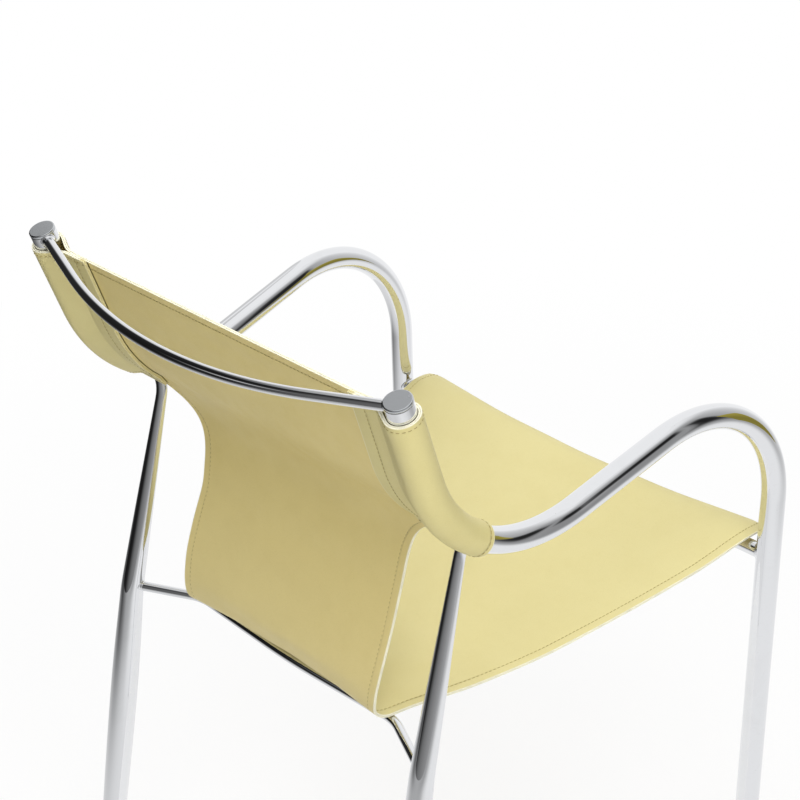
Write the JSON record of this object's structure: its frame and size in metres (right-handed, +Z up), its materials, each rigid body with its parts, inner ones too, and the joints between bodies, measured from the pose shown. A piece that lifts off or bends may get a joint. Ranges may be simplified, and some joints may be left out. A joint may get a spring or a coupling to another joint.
{
  "type": "sling armchair",
  "caption": "Armchair with a cream leather sling for back and seat, sleeved over bent chromed tube side frames, with tapered rear legs, a bowed top rod and cross bars.",
  "frame": {"origin": "on the floor, under the middle of the overall width and depth", "axes": "+Z up, the sitter faces -Y, +X is the sitter's left"},
  "size_m": [0.5552, 0.5705, 0.8228],
  "materials": {
    "chrome": "polished chrome plate",
    "disc": "polished, slightly greyer than the tube",
    "face_hide": "smooth pale yellow-cream saddle leather",
    "lining_hide": "smooth saddle leather with a paler cut edge",
    "glide": "matt"
  },
  "bodies": {
    "root": {"side_frame_left": "chrome", "side_frame_right": "chrome", "rear_leg_left": "chrome", "rear_leg_right": "chrome", "top_rod": "chrome", "front_bar": "chrome", "rear_bar": "chrome", "post_disc_left": "disc", "post_disc_right": "disc", "sling_face": "face_hide", "sling_lining": "lining_hide", "front_glide_left": "glide", "front_glide_right": "glide", "rear_glide_left": "glide", "rear_glide_right": "glide"}
  },
  "joints": []
}
